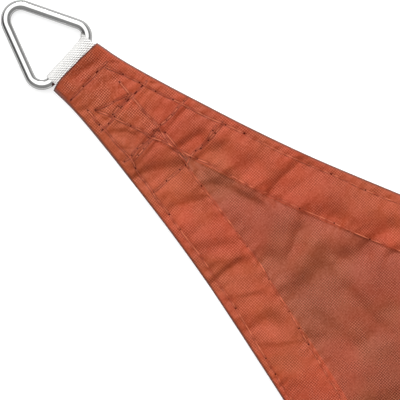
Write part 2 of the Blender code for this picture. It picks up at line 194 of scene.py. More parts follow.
# ---- the cloth's finer shape ----
LAYER = 0.7 * MM  # one layer of the cloth as it shows
THINNEST = 0.15 * MM  # the least thickness anywhere
GROUND_GAP = 0.1 * MM  # under the cloth where it lies flat
HEM_WIDTH = 32.5 * MM
HEM_STEP = 0.8 * MM
HEM_EDGE = (HEM_WIDTH - HEM_STEP / 2, HEM_WIDTH + HEM_STEP / 2)
EDGE_ROWS = (0.9 * MM, 1.6 * MM)  # rows of points that round the folded edge
MESH_ROWS = (*EDGE_ROWS, *HEM_EDGE)
EMPTY_ROW = 0.4 * MM  # no other points come near this one either
MESH_ROWS_START = MOUTH + 0.6 * MM
EDGE_ROUND = 2.3 * MM  # how far in from the edge the fold is round
EDGE_SHARE = 0.2  # the share of the thickness that is upright at the edge
EDGE_LIFT = 0.62  # the share of the lift that is left at the edge
EDGE_HOLD = 16 * MM  # how far in from the edge the lift is less
EDGE_FREE = 3 * MM  # how far in seams, puckers and creases are at full depth
LINE_GAP = 0.5 * MM  # the least from an inset line's points to the outline
ROOF_DROP = 0.45  # of a layer that the roof loses for each hem not over it
ROOF_DROP_ALONG = (14 * MM, 40 * MM)
# painted shade along the folded edges and the mouth's flanks:
FOLD_SHADE = (0.1 * MM, 1.5 * MM)  # from the edge, where the fold's dark line starts to fade, ends
MOUTH_LINE = ((-19.4, -0.2), (-15, -0.8), (-11, -1.2), (-5, -0.8), (0, -0.4), (5, 0),
              (10, 0.6), (19.4, 1.75))  # side, shift along of corner 0's mouth
MOUTH_REACH = 14 * MM
MESH = (
    # step, fine until
    (0.75, 225),
    (1.9, 130),
    (1.9, 130),
)
UNDER_STEP = 1.9  # the underside's step, in steps of the upper side
STEP_GROWTH = 0.075
LONGEST_STEP = 0.018
# All in steps: from row to row, and the least from a point to the next corner's share, to the
# outline and to the rows along the edges
ROW_STEP = 0.87
BORDER_GAP = 0.3
OUTLINE_GAP = 0.5
ROW_GAP = 0.45
SAME_PLACE = 1e-6  # points nearer than this are one
COARSE_STEP = 0.012  # of the edges that distances are measured to

# Narrow creases at the corner in view, in the same columns as its folds
CREASES = (
    (3, 3.2, -1.2, (6.5, -10), (7.5, -4), (9, 3), (11.5, 9), (13.5, 16)),
    (0.6, 1.2, -0.5, (17.5, 14.5), (21, 17.5), (25, 19.8), (28, 20.6)),
    (0.6, 1.2, -0.5, (43.5, 20), (47, 23), (50.5, 25.4)),
    (5.5, 2, -0.9, (36.5, -8), (38.5, 2)),
    (4, 4, 0.7, (49, -19.5), (54, -17), (59, -13.5)),
    (2.4, 5, -1.9, (44, -18), (47, -15), (50, -12.3), (53.5, -10.3), (58, -9), (61.5, -7.5)),
    (1.3, 1.5, -0.6, (31, -12.6), (36, -12.9), (41, -12.2)),
    (2, 2.5, -0.6, (20, -19), (24, -16.5), (27, -14.5)),
    (0.8, 1.8, -0.4, (55, -20), (58.5, -18.5), (62.5, -15), (64, -10)),
    (2, 3, -0.5, (50.5, -6), (51.5, 0)),
    (2.5, 3, -0.6, (55.5, 8), (57.5, 13), (59, 18)),
    (1.5, 2, -0.4, (54, 21), (57, 25)),
    (0.8, 1.2, -0.4, (66, 1.5), (68.5, 2.5), (71, 4)),
    (0.7, 1, -0.4, (69, -3.5), (72.5, -1)),
    (1, 1.2, -0.3, (79, -0.5), (82, 1), (84.5, 1.5)),
    (1.8, 2, -1, (88, -4), (91, -2.5), (94, -3), (97, -1.5)),
    (1.5, 1.5, -0.7, (91, -7), (92, -1), (91.5, 3)),
    (2, 2.2, -0.9, (99, -3), (101, -1), (104, 0.5), (108, 2)),
    (1, 2.2, -0.5, (63, -26), (66, -29)),
)
CREASES_END = 110 * MM

# Sewing that runs from a corner along its edges: the corner, then (along, side) points
LONG_SEAMS = (
    (0, ((17.8, 11.3), (22, 12.3), (25.5, 13.5), (35, 16.1), (45, 18.3), (50.5, 19.3),
         (59.5, 21.5), (65, 23), (70.6, 24.1), (77, 25.6), (85, 27.4), (92, 29.5), (104, 33),
         (116, 35.8), (130, 38.9), (139, 41.2), (152, 45), (161, 47.8), (172, 51), (183, 53.6),
         (194, 56.9), (206, 61), (230, 69), (262, 79.3))),
    (0, ((27, -15.3), (31, -15.8), (36, -17.3), (44, -17.8), (49.5, -19), (56.5, -20),
         (60, -20.3), (67.5, -21.4), (73, -24.5), (85, -27.2), (94, -30), (99, -30.7),
         (110, -33.4), (120, -36), (131, -38.3), (144, -41.7), (152, -44.4), (165.6, -47.8),
         (176.7, -51.7), (188, -55.6), (197, -58.9), (207, -62.2), (228, -69.3),
         (262, -79.3))),
    (0, ((30.7, 10), (38.5, 8.5), (44, 7.5), (48, 6.9), (54.5, 5.6), (60.5, 5), (66, 4.4),
         (69.4, 2.9), (76, 1), (80, 0), (85, -0.3), (94, -2.5), (97, -3.7), (106.7, -6.1),
         (116.7, -8.3), (127.8, -10.9), (139, -13.3), (150, -16.3), (156.7, -17.8),
         (165.6, -20), (173, -22.8), (184.4, -26.7), (195, -30), (204, -33.3), (215, -37.2),
         (228, -41.7), (241, -46.4), (262, -52.3))),
    (0, ((71, 4.2), (77, 3), (85, 1.5), (91, 0.4))),
    (0, ((31, -12.5), (35, -10.8), (39.5, -9.5), (45, -8), (51.5, -6.4), (57, -4.9),
         (61, -3.9), (66, -3.9), (72.5, -1.3), (82, 1), (92, 3), (96.7, 4.4), (104, 6.7),
         (120, 10), (131, 11.9), (141, 15), (153, 18.3), (164, 21.1), (178, 25.6),
         (191, 28.9), (199, 31.1), (208, 33.9), (219, 37.8), (228, 40.6), (262, 52.3))),
    (1, ((17, 12.6), (60, 21.8), (120, 36.2), (190, 56.5), (262, 79.3))),
    (1, ((20, -13.4), (60, -21.4), (120, -36.2), (190, -56.5), (262, -79.3))),
    (1, ((32, 11), (60, 4.2), (90, -2.2), (140, -14.6), (200, -32.6), (262, -52.3))),
    (1, ((30, -10.4), (60, -3.6), (90, 2.8), (140, 14.8), (200, 32.6), (262, 52.3))),
    (2, ((18, 12.2), (60, 21.2), (120, 36.2), (190, 56.5), (262, 79.3))),
    (2, ((22, -14), (60, -21.8), (120, -36.2), (190, -56.5), (262, -79.3))),
    (2, ((33, 10.2), (60, 3.8), (90, -2.6), (140, -14.8), (200, -32.6), (262, -52.3))),
    (2, ((31, -11.2), (60, -4.2), (90, 2.4), (140, 14.6), (200, 32.6), (262, 52.3))),
)
LONG_SEAM_END = 262 * MM
LONG_SEAM_STEP = 0.010
HEM_INSETS = (5.0 * MM, 30.6 * MM)  # the hem's two seams along the middle of an edge
HEM_PITCH = 11.5 * MM
HEM_HOLE = 0.9 * MM  # the length of a needle hole
HEM_HOLES_SEEN = 0.45  # the share of them that has pulled open
HOLE_LENGTHS = (0.5, 0.9)  # the least share of that length, and what chance adds
HOLE_HALF = 0.48 * MM  # half of its width
HOLE_LIFT = 0.06 * MM  # over the cloth
STITCH_STEP = 0.5 * MM  # in which stitches are counted off
SEAM_FINER = 4  # points of a seam's curve for each point in its table
SEWING_SEED = 3
# Sewing across the corners: the corner, stitch, needle hole, then (along, side) points
CROSS_SEAMS = (
    (0, 11.7, 2.2, ((15.6, -17.5), (15.9, -10), (16.2, -4), (17, 1.8), (16.9, 7.5),
                    (17.7, 14.2))),
    (0, 6.2, 2, ((41.5, -19.5), (42.2, -11), (41.7, -5.5), (41.6, 1), (42.2, 7),
                   (42.8, 13.3), (43.2, 20.5))),
    (0, 6.2, 1, ((40.4, -8), (40.2, 0), (40.8, 9))),
    (0, 5, 0.5, ((63.8, -25), (64.9, -20), (64.5, -16), (66, -5), (65.6, 0), (66, 4.4),
                   (67, 8.8), (67.8, 15), (67.8, 21), (68.1, 28.5))),
    (0, 5, 0.5, ((67.6, -21.4), (67.8, -5), (67.6, 3))),
    (0, 5, 0.9, ((88.8, -28), (90, -22.5), (90.3, -18.8), (92, -10.6), (92.5, -6.3),
                   (93.4, -2.5), (92.5, 1.3), (92.3, 6.3), (93.1, 11.3), (93.4, 17.5),
                   (92.2, 26.3))),
    (0, 6, 0.8, ((94, 10), (94.7, 28.8), (93.8, 31))),
    (0, 12, 0.5, ((30.3, -12.3), (33.5, -7), (36.5, 0), (39.7, 7))),
    (1, 11.7, 2.4, ((16, -16), (16.6, -6), (15.8, 4), (16.8, 15.5))),
    (1, 6.2, 1.8, ((40, -21.5), (41.4, -8), (40.8, 6), (42.2, 21.5))),
    (1, 5, 1.2, ((65, -26.5), (66.2, -10), (65.4, 8), (66.8, 26.5))),
    (1, 6, 0.9, ((91, -31.5), (92.2, -12), (91.2, 10), (92.8, 31.5))),
    (2, 11.7, 2.4, ((16.8, -16), (15.8, -5), (16.6, 6), (16, 15.5))),
    (2, 6.2, 1.8, ((42, -22), (40.8, -6), (41.8, 8), (40.6, 21.5))),
    (2, 5, 1.2, ((66.4, -26.5), (65.2, -8), (66.6, 10), (65.6, 26.5))),
    (2, 6, 0.9, ((92.4, -31.5), (91, -10), (92.2, 12), (91.4, 31.5))),
)
THREAD = 0.31 * MM  # its radius
THREAD_LEVEL = (0.15, 0.75)  # in radii, a stitch's level at its ends and the middle's more
THREAD_SIZE = (0.6, 0.4)  # the same for its thickness
GROOVE = (1.1 * MM, 0.26 * MM)  # a seam's half width and depth in the cloth
SEAM_REACH = 12 * MM  # how far beside a seam its distance is measured
# painted shade beside the seams:
SEWN_REACH = 0.65 * MM  # how far a seam darkens the cloth beside it
SEWN_LESS = 0.6  # how much less it does so away from the corners
SEWN_LESS_ALONG = (85 * MM, 115 * MM)
PUCKERS = (0.28 * MM, 7.0 * MM, 6.0 * MM)  # height, length and reach beside a seam
PUCKER_DRIFT = 2.5  # how unevenly they follow each other, in radians
RUMPLE = 0.32 * MM  # the height of the small waves
# Uneven waves: how many, the shortest, the longest and their seed
PUCKER_WAVES = (6, 0.015, 0.06, 5)
RUMPLE_WAVES = (16, 0.012, 0.045, 11)
WAVE_PEAK = 1.6  # about the highest that they add up to

# ---- the webbing's finer shape ----
SHOWN_SHIFT = 1.1 * MM  # to the right in its mouth
SHOWN_HALF = 16.8 * MM
SHOWN_EYE = 3.1 * MM
SHOWN_GROW = -0.5 * MM  # its outer faces against the model's
SELVEDGE = (1.2 * MM, 0.3 * MM)  # the width and the drop of its rounded sides
SHARP = math.radians(50)

# ---- the finish ----
WEAVE = 1.25 * MM  # the period of the cloth's threads
SWAY = 1.6 * MM  # how far they wander
GRAIN = 2.0  # fine noise against the weave
MOTTLE = 0.55  # how much its level varies
CLOTH_RELIEF = 0.08 * MM  # the height of one step of its relief
PANEL_COLOUR = (0.186, 0.0345, 0.0120)
HEM_COLOUR = (0.240, 0.0362, 0.0100)
OCHRE_TONE = (0.98, 1.11, 1.05)  # the cloth's tone drifts between these two
RED_TONE = (1.03, 0.91, 0.93)
GLINT = (0.066, 0.028, 0.0193)  # added where the relief is high
GLINT_FROM = -0.4  # the least relief that counts for it
# painted highlights on the threads
THREAD_HIGHLIGHT_COLOUR = (0.46, 0.135, 0.075)
PAINTED_SHADE_LINES = (
    # painted shade: attribute, how much of the colour it takes, the shade's colour; beside the
    # seams, then along the folded edges
    ("sewn", 0.72, (0.046, 0.0050, 0.0020)),
    ("fold", 0.85, (0.022, 0.009, 0.007)),
)
# Eased: from a low and a high value, to a first and a last one
WEAVE_BY_PATCH = (0.36, 0.62, 0.10, 0.72)
RELIEF_BY_HEMS = (1, 2, 0.95, 1.35)
TONE_BY_NOISE = (0.35, 0.65, 0.0, 1.0)
# painted shade where the weave's relief is low:
SHADE_BY_RELIEF = (-1.8, -0.1, 0.55, 1.0)
# painted highlights on the threads:
HIGHLIGHTS_BY_RELIEF = (0.1, 1.7, 0.0, 1.0)
HIGHLIGHTS_BY_HEMS = (1, 2, 0.12, 0.5)
SHINE_BY_NOISE = (0.41, 0.63, 0.0, 1.0)
LIGHT_AND_SHADE_PAST_WIRE = (
    # painted shade around the wire, painted light past it towards the cloth
    (-5.5 * MM, -3.0 * MM, 0.72, 1.0),
    (-1.5 * MM, 3.5 * MM, 0.95, 1.22),
)
THREAD_COLOURS = ((0.255, 0.0391, 0.01445), (0.45, 0.118, 0.058))
# painted shade of the needle holes
HOLE_SHADE_COLOURS = ((0.030, 0.003, 0.002), (0.075, 0.009, 0.005))
WEBBING_COLOURS = ((0.41, 0.41, 0.405), (0.60, 0.59, 0.575))
WEBBING_RELIEF = 0.12 * MM
# A factor and what is added to it
WEBBING_WEAVE = (0.25, 0.5)
WEBBING_LEVEL = (0.16, 0.92)
STEEL_ROUGHNESS = (0.14, 0.04)
TWILL = (0.8, 0.6, 0.0)  # the way across its slanting threads
TWILL_PERIOD = 1.4 * MM
RIB_PERIOD = 1.1 * MM
STEEL_COLOURS = ((0.36, 0.36, 0.36), (0.44, 0.44, 0.43))
STEEL_TINT = (0.3, 0.3, 0.3, 1)
FLOOR_COLOUR = (0.42, 0.42, 0.42, 1)
FLOOR_GLOW = 0.62

# ---- the view ----
VIEW_CENTRE = (113.3 * MM, -13.6 * MM)  # along, side at the middle of the photograph
VIEW_WIDTH = 240 * MM
VIEW_ANGLE = math.radians(39.75)  # of the corner's axis below the view's horizontal
LENS = 400.0
SENSOR = 36.0
NEAREST_SEEN = 0.01
LIGHT_AZIMUTH = -3  # degrees to the right of the view's up
SUN_HEIGHT = 36  # degrees over the ground
SUN = 2.15
SUN_SIZE = 22  # degrees
SKY = 2.5
# The light around. Each row: azimuth, height, then from one cosine of the angle off that
# direction to another, and from one level to another. The lamp's rows are multiplied.
LAMP = (
    (LIGHT_AZIMUTH, 48, 0.54, 0.70, 0.0, 1.0),
    (0, 90, 0.22, 0.42, 0.0, 1.0),
    (81, 0, 0.5, 0.68, 1.0, 0.0),
)
WALLS = (-75, 0, 0.3, 0.9, 0.22, 0.05)
FLOOR_HALF = 12.0
FLOOR_HEIGHT = -0.1 * MM


# ---- reading the tables ----
def smooth(values, low, high):
    """0 at low, 1 at high, with soft ends."""
    part = np.clip((values - low) / (high - low), 0.0, 1.0)
    return part * part * (3 - 2 * part)


def curve(rows, places, last_slope=None):
    """A smooth curve through rows of (place, value), read at many places."""
    x, y = np.array(rows, float).T
    slopes = np.empty_like(y)
    slopes[1:-1] = (y[2:] - y[:-2]) / (x[2:] - x[:-2])
    slopes[0] = (y[1] - y[0]) / (x[1] - x[0])
    slopes[-1] = (y[-1] - y[-2]) / (x[-1] - x[-2]) if last_slope is None else last_slope
    index = np.clip(np.searchsorted(x, places) - 1, 0, len(x) - 2)
    span = x[index + 1] - x[index]
    part = np.clip((places - x[index]) / span, 0.0, 1.0)
    rest = 1 - part
    return ((1 + 2 * part) * rest ** 2 * y[index] + part ** 2 * (3 - 2 * part) * y[index + 1]
            + span * part * rest * (rest * slopes[index] - part * slopes[index + 1]))


def arc_radius():
    """The long arc's radius, so that two corners' arcs meet at mid edge."""
    reach = CORNER_TO_MIDDLE - ARC_START - ARC_HALF_WIDTH * math.tan(MID_ANGLE)
    rise = math.sin(MID_ANGLE) - math.sin(ARC_ANGLE)
    spread = math.cos(ARC_ANGLE) - math.cos(MID_ANGLE)
    return reach / (rise + spread * math.tan(MID_ANGLE))


def half_width(along):
    """The outline's half width at places along a corner."""
    along = np.asarray(along, float)
    near = curve(OUTLINE, along / MM, math.tan(ARC_ANGLE)) * MM
    sine = math.sin(ARC_ANGLE) + (along - ARC_START) / arc_radius()
    sine = np.clip(sine, 0.0, math.sin(MID_ANGLE))
    far = ARC_HALF_WIDTH + arc_radius() * (math.cos(ARC_ANGLE) - np.sqrt(1 - sine ** 2))
    return np.where(along > ARC_START, far, near)


MID_ALONG = ARC_START + arc_radius() * (math.sin(MID_ANGLE) - math.sin(ARC_ANGLE))


def turned(points, corner):
    """Points beside the +Y corner's axis, turned clockwise to their own corner."""
    angle = -corner * 2 * math.pi / CORNERS
    turn = np.array(((math.cos(angle), math.sin(angle)), (-math.sin(angle), math.cos(angle))))
    return points @ turn


def at_corner(corner, along, side):
    """Places in a corner's own coordinates, measured from the sail's middle."""
    along, side = np.broadcast_arrays(np.asarray(along, float), np.asarray(side, float))
    return turned(np.stack((side, CORNER_TO_MIDDLE - along), axis=-1), corner)


def own_corner(points):
    """The corner that each point is nearest to, and its along and side there."""
    reach = np.stack([turned(points, -corner)[:, 1] for corner in range(CORNERS)])
    corner = reach.argmax(axis=0)
    local = np.empty_like(points)
    for each in range(CORNERS):
        local[corner == each] = turned(points[corner == each], -each)
    return corner, CORNER_TO_MIDDLE - local[:, 1], local[:, 0]


def off_stroke(points, start, end):
    """Each point's nearest place on a straight stroke, as a share, and how far off it is."""
    start, end = np.asarray(start, float), np.asarray(end, float)
    run = end - start
    part = np.clip((points - start) @ run / (run @ run), 0.0, 1.0)
    away = points - start - part[:, None] * run
    return part, away, np.linalg.norm(away, axis=1)


def close_to(points, line, reach):
    """Which points lie in a line's box, with some reach around it."""
    low, high = line.min(axis=0) - reach, line.max(axis=0) + reach
    return ((points > low) & (points < high)).all(axis=1)


def fold_height(points, near, far, rise, *path):
    """A fold, steeper on its lit side where near is less than far. A trough is darkest at
    its path, which lies on the wall that faces away from the light."""
    path = np.array(path, float)
    if rise < 0:
        path -= np.array(LIT_SIDE) * near * STEEPEST
    close = close_to(points, path, FOLD_REACH * max(near, far))
    spots = points[close]
    size = np.full(len(spots), np.inf)
    offset = np.zeros_like(spots)
    share = np.zeros(len(spots))
    for index, (start, end) in enumerate(zip(path, path[1:])):
        part, away, distance = off_stroke(spots, start, end)
        nearer = distance < size
        size[nearer] = distance[nearer]
        offset[nearer] = away[nearer]
        share[nearer] = (index + part[nearer]) / (len(path) - 1)
    facing = offset @ np.array(LIT_SIDE) / np.maximum(size, 1e-6)
    half = far + (near - far) * smooth(facing, -FOLD_TURN, FOLD_TURN)
    whole = smooth(share, 0.0, FOLD_FADE) * (1 - smooth(share, 1 - FOLD_FADE, 1.0))
    height = np.zeros(len(points))
    height[close] = (rise * MM * (FOLD_END + (1 - FOLD_END) * whole)
                     * np.exp(-(size / half) ** 2))
    return height


def line_distance(points, line):
    """How far each point lies from a line of many points."""
    best = np.full(len(points), np.inf)
    for start, end in zip(line, line[1:]):
        best = np.minimum(best, off_stroke(points, start, end)[2])
    return best


def step_at(corner, along):
    """The mesh's step at places along a corner."""
    fine, until = MESH[corner]
    return np.minimum(LONGEST_STEP, fine * MM + STEP_GROWTH * np.maximum(0, along - until * MM))


def stations(corner):
    """Places along a corner from its mouth to mid edge, a step apart."""
    found = [MOUTH]
    while found[-1] < MID_ALONG - 1.5 * step_at(corner, found[-1]):
        found.append(found[-1] + float(step_at(corner, found[-1])))
    return np.array(found + [MID_ALONG])


def side_vectors(run):
    """The sideways direction at each point of a run."""
    way = np.gradient(run, axis=0)
    way /= np.linalg.norm(way, axis=1)[:, None]
    return np.stack((-way[:, 1], way[:, 0]), axis=1)


def edge_line(corner, inset=0.0, start=MOUTH, step=None):
    """A line along the edge from one corner to the next, at an inset from it, clockwise."""
    after = (corner + 1) % CORNERS
    if step is None:
        first, last = stations(corner), stations(after)
    else:
        first = last = np.append(np.arange(MOUTH, MID_ALONG, step), MID_ALONG)
    line = np.concatenate((at_corner(corner, first, half_width(first)),
                           at_corner(after, last, -half_width(last))[::-1][1:]))
    if not inset:
        return line
    line = line - side_vectors(line) * inset
    _, along, side = own_corner(line)
    return line[(along > start) & (np.abs(side) < half_width(along) - LINE_GAP)]


# ---- the cloth's heights ----
COARSE_EDGES = [edge_line(corner, step=COARSE_STEP) for corner in range(CORNERS)]


def edge_distances(points):
    """Each point's distance to the three long edges."""
    return np.stack([line_distance(points, line) for line in COARSE_EDGES])


def lift_at(points, distances):
    """The underside's height: puffs, folds and waves."""
    corner, along, side = own_corner(points)
    height = np.zeros(len(points))
    local = np.stack((along, side), axis=1) / MM
    for each in range(CORNERS):
        mine = (corner == each) & (along < PUFF_ALONG[3])
        for row in FOLDS[each]:
            height[mine] += fold_height(local[mine], *row)
    for from_x, from_y, to_x, to_y, half, rise in WAVES:
        _, _, away = off_stroke(points, (from_x, from_y), (to_x, to_y))
        height += rise * np.exp(-(away / half) ** 2)
    rise, hold, fade, end = PUFF_ALONG
    height += PUFF * smooth(along, rise, hold) * (1 - smooth(along, fade, end)) - SETTLE
    edge = EDGE_LIFT + (1 - EDGE_LIFT) * smooth(distances.min(axis=0), 0.0, EDGE_HOLD)
    freedom = smooth(along, rise, hold) * edge
    return (height + np.sqrt(height ** 2 + SOFTNESS ** 2)) / 2 * freedom


def ripples(points, count, shortest, longest, seed):
    """Uneven low waves with no one direction, between -1 and 1."""
    chance = np.random.default_rng(seed)
    total = np.zeros(len(points))
    for _ in range(count):
        length = shortest * (longest / shortest) ** chance.random()
        heading = chance.random() * 2 * math.pi
        way = np.array((math.cos(heading), math.sin(heading)))
        total += np.sin(points @ way * 2 * math.pi / length + chance.random() * 2 * math.pi)
    return total / math.sqrt(count) / WAVE_PEAK


def seam_distance(points):
    """Each point's distance to the nearest seam."""
    best = np.full(len(points), np.inf)
    for line in SEAMS:
        near = close_to(points, line, SEAM_REACH)
        best[near] = np.minimum(best[near], line_distance(points[near], line))
    return best


def hem_layers(distances):
    """How many folded hems lie over each point: 0, 1 or 2."""
    return sum(1 - smooth(away, *HEM_EDGE) for away in distances)


def roof_at(along, side):
    """The upper side's height over the webbing and at the corner's thick, sewn end."""
    start = np.where(side < 0, SHOULDERS[0], SHOULDERS[1])
    shoulder = smooth((np.abs(side) - start) / (half_width(along) - start), 0.0, 1.0)
    middle = np.interp(along / MM, *np.array(ROOF).T)
    left, right = (np.interp(along / MM, *np.array(rows).T) for rows in ROOF_SIDES)
    edge = np.where(side < 0, left, right)
    return (middle + (edge - middle) * shoulder) * MM


def heights_at(points):
    """The underside's and the upper side's height at each point, and the hems over it."""
    distances = edge_distances(points)
    nearest = distances.min(axis=0)
    corner, along, side = own_corner(points)
    hems = hem_layers(distances)
    low = lift_at(points, distances) + GROUND_GAP
    high = low + LAYER * (1 + hems)
    roof = roof_at(along, side)
    roof += LAYER * ROOF_DROP * (hems - 2) * smooth(along, *ROOF_DROP_ALONG)
    high = np.where(along < ARC_START, np.maximum(high, roof), high)
    free = smooth(nearest, 0.0, EDGE_FREE)
    seam = seam_distance(points)
    high -= GROOVE[1] * np.exp(-(seam / GROOVE[0]) ** 2) * free
    height, length, reach = PUCKERS
    drift = PUCKER_DRIFT * ripples(points, *PUCKER_WAVES)
    wave = np.sin(2 * math.pi * along / length + drift)
    high += height * wave * np.exp(-(seam / reach) ** 2) * free
    high += RUMPLE * ripples(points, *RUMPLE_WAVES) * free
    local = np.stack((along, side), axis=1) / MM
    mine = (corner == 0) & (along < CREASES_END)
    for row in CREASES:
        high[mine] += fold_height(local[mine], *row) * free[mine]
    covering = (along < TAIL_END + 2 * MM) & (np.abs(side) < WEBBING_HALF + MM)
    high[covering] = np.maximum(high[covering], ROOF_FLOOR)
    inside = np.clip(nearest / EDGE_ROUND, 0.0, 1.0)
    bulge = np.sqrt(1 - (1 - inside) ** 2)
    high = low + (high - low) * (EDGE_SHARE + (1 - EDGE_SHARE) * bulge)
    return low, np.maximum(high, low + THINNEST), hems


def at_mouth(points):
    """Points with corner 0's mouth shifted to its slanting line."""
    corner, along, side = own_corner(points)
    shift = np.interp(side / MM, *np.array(MOUTH_LINE).T) * MM
    shift *= (1 - smooth(along, MOUTH, MOUTH_REACH)) * (corner == 0)
    return points - np.stack((np.zeros(len(points)), shift), axis=1)


# ---- making pieces ----
def place_of(corner):
    """The matrix from a corner's own frame, side as X and along as -Y, to the model's."""
    return (Matrix.Translation((0, SAIL_Y, 0))
            @ Matrix.Rotation(-corner * 2 * math.pi / CORNERS, 4, "Z")
            @ Matrix.Translation((0, CORNER_TO_MIDDLE, 0)))


def put(name, data):
    """A new object in the scene, for a mesh, a lamp or a camera."""
    made = bpy.data.objects.new(name, data)
    bpy.context.scene.collection.objects.link(made)
    return made


def mesh_object(name, points, faces, material=None):
    """A new object with a mesh of its own."""
    mesh = bpy.data.meshes.new(name)
    mesh.from_pydata(points, [], faces)
    if material is not None:
        mesh.materials.append(material)
    return put(name, mesh)


def piece(name, points, faces, material, shade=True):
    """A mesh object that rides on the part's one body."""
    made = mesh_object(name, points, faces, material)
    if shade:
        made.data.shade_smooth()
    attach(made, "root")
    return made


def carry(made, name, values):
    """A value at each of a piece's points, for its material."""
    layer = made.data.attributes.new(name, "FLOAT", "POINT")
    layer.data.foreach_set("value", np.array(values, np.float32))


def cloth_plan(coarseness):
    """The cloth seen from above: points and triangles, inner ones a number of steps apart."""
    outline = []
    half = float(half_width(MOUTH))
    for corner in range(CORNERS):
        count = round(2 * half / (MESH[corner][0] * MM))
        across = np.linspace(-half, half, count + 1)[1:-1]
        outline += [at_corner(corner, MOUTH, across), edge_line(corner)]
    outline = np.concatenate(outline)[::-1]
    points = [outline]
    bonds = [(index, (index + 1) % len(outline)) for index in range(len(outline))]
    start = len(outline)
    for corner in range(CORNERS):
        for offset in MESH_ROWS if coarseness == 1 else ():
            line = edge_line(corner, offset, MESH_ROWS_START)
            points.append(line)
            if offset > EDGE_ROWS[-1]:
                bonds += [(start + index, start + index + 1) for index in range(len(line) - 1)]
            start += len(line)
    points.append(inner_points(coarseness))
    points = np.concatenate(points)
    found = delaunay_2d_cdt([Vector(point) for point in points], bonds, [], 1, SAME_PLACE)
    return np.array([point[:] for point in found[0]]), np.array([face for face in found[2]])


def inner_points(coarseness):
    """Points inside the outline, in staggered rows that grow coarser towards the middle."""
    found = []
    for corner in range(CORNERS):
        along = MOUTH
        row = 0
        while along < CORNER_TO_MIDDLE:
            step = float(step_at(corner, along)) * coarseness
            border = (CORNER_TO_MIDDLE - along) * math.tan(2 * MID_ANGLE) - BORDER_GAP * step
            reach = min(border, float(half_width(along)))
            count = int(reach / step)
            side = (np.arange(-count - 1, count + 2) + row % 2 / 2) * step
            side = side[np.abs(side) < reach]
            spots = at_corner(corner, along + 0.5 * step, side)
            found.append(np.column_stack((spots, np.full(len(spots), step))))
            along += ROW_STEP * step
            row += 1
    found = np.concatenate(found)
    points, step = found[:, :2], found[:, 2]
    distances = edge_distances(points)
    _, along, side = own_corner(points)
    keep = (distances > OUTLINE_GAP * step).all(axis=0) & (np.abs(side) < half_width(along))
    if coarseness == 1:
        for offset in (EMPTY_ROW, *MESH_ROWS):
            keep &= (np.abs(distances - offset) > ROW_GAP * step).all(axis=0)
    return points[keep]


def rim_of(triangles, count):
    """The sides that only one triangle has, each from its first point to its second."""
    sides = np.concatenate((triangles[:, [0, 1]], triangles[:, [1, 2]], triangles[:, [2, 0]]))
    key = sides.min(axis=1).astype(np.int64) * count + sides.max(axis=1)
    _, first, uses = np.unique(key, return_index=True, return_counts=True)
    return sides[first[uses == 1]]


def make_cloth(material):
    """The cloth: a fine upper side and a coarser under side, joined by a wall at the outline."""
    over, top = cloth_plan(1)
    under, bottom = cloth_plan(UNDER_STEP)
    _, high, hems = heights_at(over)
    low, _, _ = heights_at(under)
    rim = rim_of(top, len(over))
    place = {tuple(spot): index + len(over) for index, spot in enumerate(under.round(6).tolist())}
    twin, after = ([place[tuple(spot)] for spot in over[ends].round(6).tolist()]
                   for ends in rim.T)
    wall = np.column_stack((rim[:, 1], rim[:, 0], twin, after))
    plan = at_mouth(np.concatenate((over, under)))
    points = np.column_stack((plan, np.concatenate((high, low))))
    points[:, 1] += SAIL_Y
    faces = top.tolist() + (bottom[:, ::-1] + len(over)).tolist() + wall.tolist()
    cloth = piece("sail_cloth", points.tolist(), faces, material)
    nearest = edge_distances(over).min(axis=0)
    _, along, _ = own_corner(over)
    # painted shade along the folded edges and the mouth's flanks
    fold = 1 - smooth(np.minimum(nearest, along - MOUTH), *FOLD_SHADE)
    # painted shade beside each seam
    sewn = np.exp(-(seam_distance(over) / SEWN_REACH) ** 2)
    sewn *= 1 - SEWN_LESS * smooth(along, *SEWN_LESS_ALONG)
    for name, values in (("hems", hems), ("fold", fold), ("sewn", sewn)):
        carry(cloth, name, np.concatenate((values, np.zeros(len(under)))))
    return cloth


# ---- rings and webbing ----
def ring_corners():
    """The ring's arcs in its own plane, as (centre, radius, first angle, last angle)."""
    lean = math.atan2(RING_BASE / 2, RING_HEIGHT)
    foot = math.pi / 2 - lean
    foot_x = RING_BASE / 2 - BASE_RADIUS / math.tan(foot / 2)
    apex_y = RING_HEIGHT - APEX_RADIUS / math.sin(lean)
    return (((foot_x, BASE_RADIUS), BASE_RADIUS, -math.pi / 2, lean),
            ((0.0, apex_y), APEX_RADIUS, lean, math.pi - lean),
            ((-foot_x, BASE_RADIUS), BASE_RADIUS, math.pi - lean, 1.5 * math.pi))


def ring_place(corner):
    """How a ring lies at its corner: shifted, turned, and leaning down until its apex rests."""
    apex = ring_corners()[1]
    lean = -math.asin((EYE_HEIGHT - WIRE / 2) / (apex[0][1] + APEX_RADIUS))
    return (place_of(corner) @ Matrix.Translation((RING_SHIFT, 0, EYE_HEIGHT))
            @ Matrix.Rotation(-math.radians(RING_TURNS[corner]), 4, "Z")
            @ Matrix.Rotation(lean, 4, "X"))


